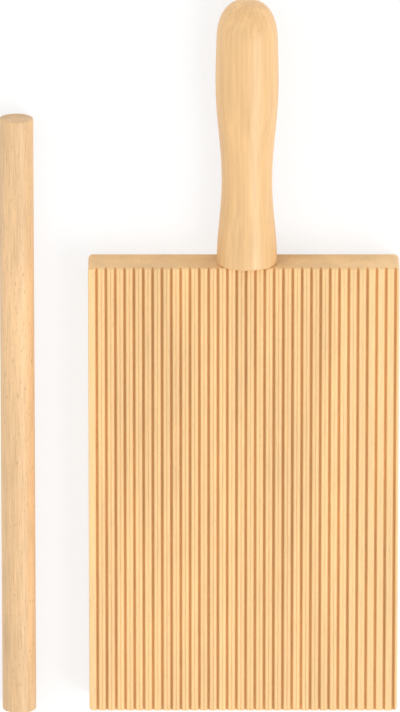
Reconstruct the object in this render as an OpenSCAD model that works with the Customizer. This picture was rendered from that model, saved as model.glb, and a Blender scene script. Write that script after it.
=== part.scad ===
// Gnocchi board with a turned handle and a loose rolling stick.
// The board lies flat with its grooves up and its handle along +Y.
// The origin is the centre of the board's underside.

/* [Board] */
// Width of the board, across the grooves
board_w = 100; // [70:1:130]
// Length of the board, along the grooves
board_len = 150; // [100:1:200]
// Thickness of the board
board_t = 17; // [17:0.5:24]
// Radius of the board's four upright corners
corner_r = 1.5; // [1:0.1:3]
// Radius that eases the grooved face's two long edges
face_ease = 0.4; // [0.3:0.05:0.6]
// Bevel round the underside
under_bevel = 0.8; // [0.3:0.1:1.5]
// Bevel where the grooved face meets the two end faces
end_bevel = 0.4; // [0.2:0.05:0.8]

/* [Grooves] */
// Distance from one groove to the next
groove_pitch = 3; // [2.7:0.1:4.5]
// Distance from the board's left edge to the middle of the first groove
first_groove_at = 2.7; // [2:0.1:4]
// Least width of plain wood between the last groove and the right edge
last_margin = 0.45; // [0.4:0.05:2]
// Width of each groove between its two eased rims
groove_w = 0.9; // [0.7:0.05:1.2]
// Depth of each groove, where the wood over the pin's bore allows it
groove_depth = 1.5; // [1:0.1:2.2]
// Least wood between the pin's bore and the bottom of the grooves
bore_cover = 1; // [0.8:0.1:1.5]
// Width of the flat at the bottom of each groove
groove_floor = 0.3; // [0.2:0.05:0.5]
// Radius that eases each groove's rims
rim_ease = 0.35; // [0.2:0.05:0.5]
// Width of the fine score line along each crest
score_w = 0.4; // [0.2:0.05:0.5]
// Depth of the fine score line along each crest
score_depth = 0.25; // [0.1:0.05:0.4]
// Share of the score's depth that is left at the right-hand edge
score_left = 0.3; // [0.1:0.05:1]

/* [Handle] */
// Length of the handle outside the board
handle_len = 87.5; // [80:0.5:130]
// Largest diameter, at the grip's swell
grip_d = 20.2; // [19:0.1:21]
// Diameter at the waist
waist_d = 16.2; // [14:0.1:18]
// Diameter at the foot, where the handle meets the board
foot_d = 19.4; // [17:0.1:21]
// Diameter where the rounded end begins
shoulder_d = 19.7; // [17:0.1:20]
// Distance from the board to the waist
waist_at = 27.5; // [23:0.5:34]
// Distance from the board to the middle of the swell
swell_at = 60; // [50:1:68]
// Length of the rounded end
dome_len = 15; // [8:0.5:18]
// Radius that eases the rim of the foot
foot_ease = 0.6; // [0.3:0.1:1.2]
// How far the handle's axis stands to the right of the board's middle
handle_shift = 1; // [-2:0.5:2]
// Height of the grip's underside above the table
grip_clearance = 0.3; // [0.2:0.05:0.6]

/* [Joint pin] */
// Diameter of the fluted pin that joins handle and board
pin_d = 8; // [6:0.5:8]
// Length of the fluted pin
pin_len = 40; // [30:1:50]
// Number of flutes round the pin
flute_count = 16; // [10:1:20]
// Depth of each flute
flute_depth = 0.5; // [0.3:0.1:0.6]
// Bevel at the pin's ends
pin_bevel = 0.8; // [0.4:0.1:1.2]
// Gap for glue round the pin
glue_gap = 0.05; // [0.03:0.01:0.1]
// Empty length for spare glue past each end of the pin
bore_spare = 1; // [0.5:0.5:3]

/* [Rolling stick] */
// Diameter of the rolling stick
stick_d = 11; // [8:0.5:16]
// Length of the rolling stick
stick_len = 200; // [150:1:260]
// Radius that eases the rims of the stick's ends
stick_ease = 0.5; // [0.3:0.1:1.5]
// Gap between the stick and the board, as they lie side by side
stick_gap = 17.5; // [10:0.5:40]
// How far the stick's lower end lies past the board's lower end
stick_past = 3; // [-20:0.5:20]

/* [Hidden] */
smooth = 96;
overcut = 1;
arc_steps = 4;
dome_steps = 14;
wave_steps = 12;
// Shape of the rounded end: a superellipse, fuller than a half ball
dome_along = 2.6;
dome_across = 2.35;
// Where the score lines begin to fade, as a share of the width
fade_from = 0.7;
board_left = -board_w / 2;
board_right = board_w / 2;
board_end = board_len / 2;
groove_x0 = board_left + first_groove_at;
groove_half = groove_w / 2 + rim_ease;
last_plain = max(last_margin, face_ease);
groove_count =
    1 + floor((board_right - last_plain - groove_half - groove_x0) / groove_pitch);
handle_z = grip_d / 2 + grip_clearance;
pin_bore_r = pin_d / 2 + glue_gap;
groove_cut = min(groove_depth, board_t - handle_z - pin_bore_r - bore_cover);
pin_half = pin_len / 2;
bore_depth = pin_half + bore_spare;
dome_from = handle_len - dome_len;
stick_x = board_left - stick_gap - stick_d / 2;
stick_y0 = -board_end - stick_past;

// Points of an arc about [x, y], from angle a to angle b.
function arc(x, y, r, a, b) =
    [for (i = [0 : arc_steps])
        let (turn = a + (b - a) * i / arc_steps) [x + r * cos(turn), y + r * sin(turn)]];

// A groove at x: eased left rim, steep walls, narrow floor, eased right rim.
function groove_points(x) = concat(
    arc(x - groove_half, board_t - rim_ease, rim_ease, 90, 0),
    [[x - groove_floor / 2, board_t - groove_cut],
     [x + groove_floor / 2, board_t - groove_cut]],
    arc(x + groove_half, board_t - rim_ease, rim_ease, 180, 90)
);

// How much of the score's depth is left at x.
function score_share(x) =
    let (run = max(0, ((x - board_left) / board_w - fade_from) / (1 - fade_from)))
        1 - (1 - score_left) * run;

// The fine score line in the middle of a crest at x.
function score_points(x) = [
    [x - score_w / 2, board_t],
    [x, board_t - score_depth * score_share(x)],
    [x + score_w / 2, board_t],
];

// The board's cross section: a flat back and the row of grooves.
function board_outline() = concat(
    [[board_left + under_bevel, 0], [board_left, under_bevel]],
    arc(board_left + face_ease, board_t - face_ease, face_ease, 180, 90),
    [for (i = [0 : groove_count - 1])
        let (x = groove_x0 + i * groove_pitch)
            for (p = concat(groove_points(x),
                    i < groove_count - 1 ? score_points(x + groove_pitch / 2) : []))
                p],
    arc(board_right - face_ease, board_t - face_ease, face_ease, 90, 0),
    [[board_right, under_bevel], [board_right - under_bevel, 0]]
);

// The board seen from above: a rectangle with round corners.
module plan_block() {
    translate([0, 0, -overcut])
        linear_extrude(board_t + 2 * overcut) {
            square([board_w, board_len - 2 * corner_r], center = true);
            square([board_w - 2 * corner_r, board_len], center = true);
            for (sx = [-1, 1], sy = [-1, 1])
                translate([sx * (board_w / 2 - corner_r), sy * (board_end - corner_r)])
                    circle(r = corner_r, $fn = smooth / 3);
        }
}

// The board seen from its side: bevels at the ends of both faces.
module side_block() {
    translate([board_left - overcut, 0, 0]) rotate([90, 0, 90])
        linear_extrude(board_w + 2 * overcut)
            polygon([
                [-board_end + under_bevel, 0], [board_end - under_bevel, 0],
                [board_end, under_bevel], [board_end, board_t - end_bevel],
                [board_end - end_bevel, board_t], [-board_end + end_bevel, board_t],
                [-board_end, board_t - end_bevel], [-board_end, under_bevel],
            ]);
}

module grooved_board() {
    color("#f2cb8e")
    difference() {
        intersection() {
            translate([0, board_end, 0]) rotate([90, 0, 0])
                linear_extrude(board_len) polygon(board_outline());
            plan_block();
            side_block();
        }
        translate([handle_shift, board_end - bore_depth, handle_z]) rotate([-90, 0, 0])
            cylinder(h = bore_depth + overcut, r = pin_bore_r, $fn = smooth);
    }
}

// Points of half a cosine wave, from one radius and height to the next.
function wave(r0, r1, h0, h1) =
    [for (i = [1 : wave_steps])
        [r0 + (r1 - r0) * (1 - cos(180 * i / wave_steps)) / 2,
         h0 + (h1 - h0) * i / wave_steps]];

// The lower half of such a wave's fall, which leaves the swell and steepens.
function fall(r0, r1, h0, h1) =
    [for (i = [1 : wave_steps])
        [r1 + (r0 - r1) * cos(90 * i / wave_steps), h0 + (h1 - h0) * i / wave_steps]];

function dome() =
    [for (i = [1 : dome_steps - 1])
        let (run = sin(90 * i / dome_steps))
            [shoulder_d / 2 * pow(1 - pow(run, dome_along), 1 / dome_across),
             dome_from + dome_len * run]];

// The handle's outline, from the middle of its foot to its tip.
function handle_outline() = concat(
    [[0, 0]],
    arc(foot_d / 2 - foot_ease, foot_ease, foot_ease, -90, 0),
    wave(foot_d / 2, waist_d / 2, foot_ease, waist_at),
    wave(waist_d / 2, grip_d / 2, waist_at, swell_at),
    fall(grip_d / 2, shoulder_d / 2, swell_at, dome_from),
    dome(),
    [[0, handle_len]]
);

module turned_handle() {
    color("#ecc084")
    translate([handle_shift, board_end, handle_z]) rotate([-90, 0, 0])
    difference() {
        rotate_extrude($fn = smooth) polygon(handle_outline());
        translate([0, 0, -overcut])
            cylinder(h = bore_depth + overcut, r = pin_bore_r, $fn = smooth);
    }
}

module joint_pin() {
    color("#dcb483")
    translate([handle_shift, board_end - pin_half, handle_z]) rotate([-90, 0, 0])
    difference() {
        rotate_extrude($fn = smooth)
            polygon([
                [0, 0], [pin_d / 2 - pin_bevel, 0], [pin_d / 2, pin_bevel],
                [pin_d / 2, pin_len - pin_bevel], [pin_d / 2 - pin_bevel, pin_len],
                [0, pin_len],
            ]);
        for (i = [0 : flute_count - 1])
            rotate([0, 0, i * 360 / flute_count]) translate([pin_d / 2, 0, -overcut])
                rotate([0, 0, 45])
                    translate([-flute_depth / 2, -flute_depth / 2, 0])
                        cube([flute_depth, flute_depth, pin_len + 2 * overcut]);
    }
}

module rolling_stick() {
    color("#e6c195")
    translate([stick_x, stick_y0, stick_d / 2]) rotate([-90, 0, 0])
        rotate_extrude($fn = smooth)
            polygon(concat(
                [[0, 0]],
                arc(stick_d / 2 - stick_ease, stick_ease, stick_ease, -90, 0),
                arc(stick_d / 2 - stick_ease, stick_len - stick_ease, stick_ease, 0, 90),
                [[0, stick_len]]
            ));
}

grooved_board();
turned_handle();
joint_pin();
rolling_stick();
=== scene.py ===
import math

import bpy
from mathutils import Matrix, Vector


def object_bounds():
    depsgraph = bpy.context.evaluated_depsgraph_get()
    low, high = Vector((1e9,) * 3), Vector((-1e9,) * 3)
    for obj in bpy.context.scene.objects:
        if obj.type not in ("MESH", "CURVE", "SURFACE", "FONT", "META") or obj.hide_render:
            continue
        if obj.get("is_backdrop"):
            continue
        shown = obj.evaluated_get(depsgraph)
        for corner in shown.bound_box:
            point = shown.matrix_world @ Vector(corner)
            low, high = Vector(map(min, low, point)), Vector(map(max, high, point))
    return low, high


bl_info = {
    "name": "Gnocchi board",
    "version": (1, 0, 0),
    "blender": (4, 5, 0),
    "location": "View3D > Sidebar > Gnocchi board",
    "description": "Finishes a grooved wooden gnocchi board, its handle and its rolling stick",
    "category": "Object",
}

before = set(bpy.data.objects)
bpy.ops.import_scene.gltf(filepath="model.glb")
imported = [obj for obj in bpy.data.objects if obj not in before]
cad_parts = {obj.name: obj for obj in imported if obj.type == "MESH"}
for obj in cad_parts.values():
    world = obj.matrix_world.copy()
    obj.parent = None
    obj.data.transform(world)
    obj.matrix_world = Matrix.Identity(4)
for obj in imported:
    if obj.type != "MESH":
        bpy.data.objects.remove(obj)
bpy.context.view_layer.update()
MM = 0.001

PHOTO_RATIO = 712 / 400  # height over width
SENSOR_MM = 36
CAMERA_REACH = 20
FLOOR_HALF = 3.0
FLOOR_DROP = 0.01 * MM  # keeps the floor's face clear of the board's underside

# Widths across the grain and lengths along it, in mm. One pixel is about
# 0.3 mm, so the flecks are drawn coarser than real beech flecks, to show.
BAND_MM = (9, 120)
FLECK_MM = (0.35, 2.4)
PORE_SHARE = 0.5  # how much of the streaks comes from the pores
BAND_SHARE = 0.5  # and how much from the slow bands
DARK_AT = 0.33
LIGHT_AT = 0.66
LIGHT_LIFT = 0.5  # the light streaks depart half as far as the dark ones
FLECK_FROM = 0.66
FLECK_TO = 0.74
FLECK_SHADE = 0.72
PIN_SHADE = 0.9
PORE_BUMP = 0.25
PORE_DEPTH = 0.1 * MM


class StudioSizes(bpy.types.PropertyGroup):
    tilt: bpy.props.FloatProperty(
        name="Tilt", description="Angle between the view and straight down",
        default=math.radians(17.0), subtype="ANGLE",
    )
    distance: bpy.props.FloatProperty(
        name="Distance", description="From the camera to the middle of the view",
        default=3.2, unit="LENGTH",
    )
    width: bpy.props.FloatProperty(
        name="View width", description="Width of what the camera sees",
        default=0.1294, unit="LENGTH",
    )
    aim: bpy.props.FloatVectorProperty(
        name="Aim", description="Place in the middle of the view",
        default=(-0.01405, 0.0405, 0.0), size=3, subtype="TRANSLATION",
    )
    paper: bpy.props.StringProperty(
        name="Paper", description="Colour of the floor", default="#fafafa",
    )
    paper_glow: bpy.props.FloatProperty(
        name="Paper glow", description="How far the floor looks pure white to the camera",
        default=0.72, subtype="FACTOR",
    )
    room_light: bpy.props.FloatProperty(
        name="Room light", description="Strength of the light from all round",
        default=0.75,
    )
    key_power: bpy.props.FloatProperty(
        name="Key lamp", description="Power of the lamp on the right",
        default=13, unit="POWER",
    )
    fill_power: bpy.props.FloatProperty(
        name="Fill lamp", description="Power of the softer lamp on the left",
        default=5, unit="POWER",
    )


class WoodColours(bpy.types.PropertyGroup):
    board: bpy.props.StringProperty(
        name="Board", description="Middle colour of the board", default="#f0c88f",
    )
    handle: bpy.props.StringProperty(
        name="Handle", description="Middle colour of the handle", default="#e9bd86",
    )
    stick: bpy.props.StringProperty(
        name="Stick", description="Middle colour of the stick", default="#e2bb8c",
    )


def linear(hex_colour):
    """The linear colour of an sRGB hex value, as Blender's sockets take it."""
    parts = [int(hex_colour[i:i + 2], 16) / 255 for i in (1, 3, 5)]
    return [p / 12.92 if p <= 0.04045 else ((p + 0.055) / 1.055) ** 2.4 for p in parts] + [1.0]


def shade(hex_colour, factor):
    """The same colour, lighter or darker by a factor on its sRGB values."""
    parts = [min(255, round(int(hex_colour[i:i + 2], 16) * factor)) for i in (1, 3, 5)]
    return "#%02x%02x%02x" % tuple(parts)


def add(tree, kind, settings=None, **links):
    """Adds a node, sets its properties, and sets or links its inputs.

    An input goes by its name, with _ for a space, or by its number, as in i0.
    """
    node = tree.nodes.new(kind)
    for name, value in (settings or {}).items():
        setattr(node, name, value)
    for name, value in links.items():
        by_number = name[0] == "i" and name[1:].isdigit()
        socket = node.inputs[int(name[1:]) if by_number else name.replace("_", " ")]
        if isinstance(value, bpy.types.NodeSocket):
            tree.links.new(value, socket)
        else:
            socket.default_value = value
    return node


def streaks(tree, place, across_mm, along_mm, **inputs):
    """A noise drawn out along +Y, with features of this width and length."""
    scale = (1 / (across_mm * MM), 1 / (along_mm * MM), 1 / (across_mm * MM))
    stretched = add(tree, "ShaderNodeMapping", Vector=place, Scale=scale)
    noise = add(tree, "ShaderNodeTexNoise", Vector=stretched.outputs[0], Scale=1.0, **inputs)
    return noise.outputs["Fac"]


def wood(name, colour, grain_mm, along_mm, contrast, roughness, fleck):
    """Beech along +Y: fine pores along the grain, slow colour bands, short flecks."""
    material = bpy.data.materials.new(name)
    material.use_nodes = True
    tree = material.node_tree
    tree.nodes.clear()
    place = add(tree, "ShaderNodeTexCoord").outputs["Object"]
    pores = streaks(tree, place, grain_mm, along_mm, Detail=4.0, Roughness=0.6)
    bands = streaks(tree, place, *BAND_MM, Detail=2.0, Distortion=0.4)
    flecks = streaks(tree, place, *FLECK_MM, Detail=1.0)
    from_pores = add(tree, "ShaderNodeMath", {"operation": "MULTIPLY_ADD"},
                     i0=pores, i1=PORE_SHARE, i2=0.0)
    mixed = add(tree, "ShaderNodeMath", {"operation": "MULTIPLY_ADD"},
                i0=bands, i1=BAND_SHARE, i2=from_pores.outputs[0])
    ramp = add(tree, "ShaderNodeValToRGB", i0=mixed.outputs[0])
    dark, light = ramp.color_ramp.elements
    dark.position = DARK_AT
    dark.color = linear(shade(colour, 1 - contrast))
    light.position = LIGHT_AT
    light.color = linear(shade(colour, 1 + contrast * LIGHT_LIFT))
    spots = add(tree, "ShaderNodeMapRange",
                i0=flecks, i1=FLECK_FROM, i2=FLECK_TO, i3=0.0, i4=fleck)
    base = add(tree, "ShaderNodeMix", {"data_type": "RGBA"}, i0=spots.outputs[0],
               i6=ramp.outputs[0], i7=linear(shade(colour, FLECK_SHADE)))
    bump = add(tree, "ShaderNodeBump", Strength=PORE_BUMP, Distance=PORE_DEPTH, Height=pores)
    shader = add(tree, "ShaderNodeBsdfPrincipled", Base_Color=base.outputs[2],
                 Roughness=roughness, Normal=bump.outputs[0])
    add(tree, "ShaderNodeOutputMaterial", Surface=shader.outputs[0])
    return material


def give(node_name, material):
    """Puts a material on a node of the frame."""
    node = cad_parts[node_name]
    node.data.materials.clear()
    node.data.materials.append(material)


class GNOCCHI_OT_board(bpy.types.Operator):
    """Finish the grooved board"""
    bl_idname = "gnocchi.board"
    bl_label = "Grooved board"

    def execute(self, context):
        # Bare planed beech: pale and dull, with fine streaks along the grooves.
        planed = wood("planed beech", context.scene.wood_colours.board, grain_mm=0.5,
                      along_mm=14, contrast=0.08, roughness=0.55, fleck=0.25)
        give("grooved_board", planed)
        return {"FINISHED"}


class GNOCCHI_OT_handle(bpy.types.Operator):
    """Finish the turned handle and its pin"""
    bl_idname = "gnocchi.handle"
    bl_label = "Turned handle"

    def execute(self, context):
        colour = context.scene.wood_colours.handle
        # Turned, waxed beech: long quiet streaks under a soft shine.
        waxed = wood("waxed beech", colour, grain_mm=1.0,
                     along_mm=30, contrast=0.09, roughness=0.38, fleck=0.05)
        give("turned_handle", waxed)
        # Bare fluted beech: a little darker and duller, hidden in the joint.
        fluted = wood("fluted beech", shade(colour, PIN_SHADE), grain_mm=0.6,
                      along_mm=12, contrast=0.1, roughness=0.6, fleck=0.2)
        give("joint_pin", fluted)
        return {"FINISHED"}


class GNOCCHI_OT_stick(bpy.types.Operator):
    """Finish the rolling stick"""
    bl_idname = "gnocchi.stick"
    bl_label = "Rolling stick"

    def execute(self, context):
        # Bare sanded beech: browner, with short dark flecks along the grain.
        sanded = wood("sanded beech", context.scene.wood_colours.stick, grain_mm=0.5,
                      along_mm=12, contrast=0.14, roughness=0.5, fleck=0.6)
        give("rolling_stick", sanded)
        return {"FINISHED"}


def white_paper(sizes):
    """Matt white paper, lifted to white for the camera, that keeps soft shadows."""
    material = bpy.data.materials.new("white paper")
    material.use_nodes = True
    tree = material.node_tree
    tree.nodes.clear()
    lit = add(tree, "ShaderNodeBsdfDiffuse", Color=linear(sizes.paper))
    glow = add(tree, "ShaderNodeEmission", Color=linear("#ffffff"), Strength=1.0)
    seen = add(tree, "ShaderNodeLightPath").outputs["Is Camera Ray"]
    share = add(tree, "ShaderNodeMath", {"operation": "MULTIPLY"}, i0=seen, i1=sizes.paper_glow)
    both = add(tree, "ShaderNodeMixShader",
               i0=share.outputs[0], i1=lit.outputs[0], i2=glow.outputs[0])
    add(tree, "ShaderNodeOutputMaterial", Surface=both.outputs[0])
    return material


def paper_floor(sizes):
    """A wide flat floor just under the object."""
    mesh = bpy.data.meshes.new("floor")
    corners = [(x * FLOOR_HALF, y * FLOOR_HALF, 0) for x, y in ((-1, -1), (1, -1), (1, 1), (-1, 1))]
    mesh.from_pydata(corners, [], [(0, 1, 2, 3)])
    mesh.materials.append(white_paper(sizes))
    floor = bpy.data.objects.new("floor", mesh)
    bpy.context.scene.collection.objects.link(floor)
    floor.location.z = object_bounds()[0].z - FLOOR_DROP
    floor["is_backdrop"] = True


def area_lamp(name, place, size, power):
    """A soft square lamp that points at the board."""
    data = bpy.data.lights.new(name, "AREA")
    data.size, data.energy = size, power
    lamp = bpy.data.objects.new(name, data)
    bpy.context.scene.collection.objects.link(lamp)
    lamp.location = place
    lamp.rotation_euler = (-Vector(place)).to_track_quat("-Z", "Y").to_euler()


def tilted_camera(sizes):
    """A far camera over the handle's side of the board, with +Y up in the picture."""
    data = bpy.data.cameras.new("camera")
    data.sensor_width = SENSOR_MM
    data.lens = SENSOR_MM * sizes.distance / (sizes.width * PHOTO_RATIO)
    data.clip_end = CAMERA_REACH
    camera = bpy.data.objects.new("camera", data)
    bpy.context.scene.collection.objects.link(camera)
    bpy.context.scene.camera = camera
    up = Vector((0, math.cos(sizes.tilt), -math.sin(sizes.tilt)))
    back = Vector((0, math.sin(sizes.tilt), math.cos(sizes.tilt)))
    turn = Matrix((up.cross(back), up, back)).transposed()
    place = Vector(sizes.aim) + back * sizes.distance
    camera.matrix_world = Matrix.Translation(place) @ turn.to_4x4()


class GNOCCHI_OT_stage(bpy.types.Operator):
    """Set the floor, the lamps and the camera"""
    bl_idname = "gnocchi.stage"
    bl_label = "Stage"

    def execute(self, context):
        scene = context.scene
        sizes = scene.studio_sizes
        scene.view_settings.view_transform = "Standard"
        scene.world = bpy.data.worlds.new("room")
        scene.world.use_nodes = True
        room = scene.world.node_tree.nodes["Background"]
        room.inputs["Color"].default_value = linear("#ffffff")
        room.inputs["Strength"].default_value = sizes.room_light
        paper_floor(sizes)
        area_lamp("key", (0.9, -0.4, 1.3), 0.9, sizes.key_power)
        area_lamp("fill", (-1.1, 0.5, 1.1), 1.2, sizes.fill_power)
        tilted_camera(sizes)
        return {"FINISHED"}


class GNOCCHI_PT_panel(bpy.types.Panel):
    """The steps that finish the gnocchi board"""
    bl_label = "Gnocchi board"
    bl_idname = "GNOCCHI_PT_panel"
    bl_space_type = "VIEW_3D"
    bl_region_type = "UI"
    bl_category = "Gnocchi board"

    def draw(self, context):
        for step in STEPS:
            self.layout.operator(step)


STEPS = ("gnocchi.board", "gnocchi.handle", "gnocchi.stick", "gnocchi.stage")
CLASSES = (StudioSizes, WoodColours, GNOCCHI_OT_board, GNOCCHI_OT_handle, GNOCCHI_OT_stick,
           GNOCCHI_OT_stage, GNOCCHI_PT_panel)


def register():
    for cls in CLASSES:
        bpy.utils.register_class(cls)
    bpy.types.Scene.studio_sizes = bpy.props.PointerProperty(type=StudioSizes)
    bpy.types.Scene.wood_colours = bpy.props.PointerProperty(type=WoodColours)


def unregister():
    del bpy.types.Scene.wood_colours
    del bpy.types.Scene.studio_sizes
    for cls in reversed(CLASSES):
        bpy.utils.unregister_class(cls)


def main():
    register()
    for step in STEPS:
        group, name = step.split(".")
        getattr(getattr(bpy.ops, group), name)()


if __name__ == "__main__":
    main()
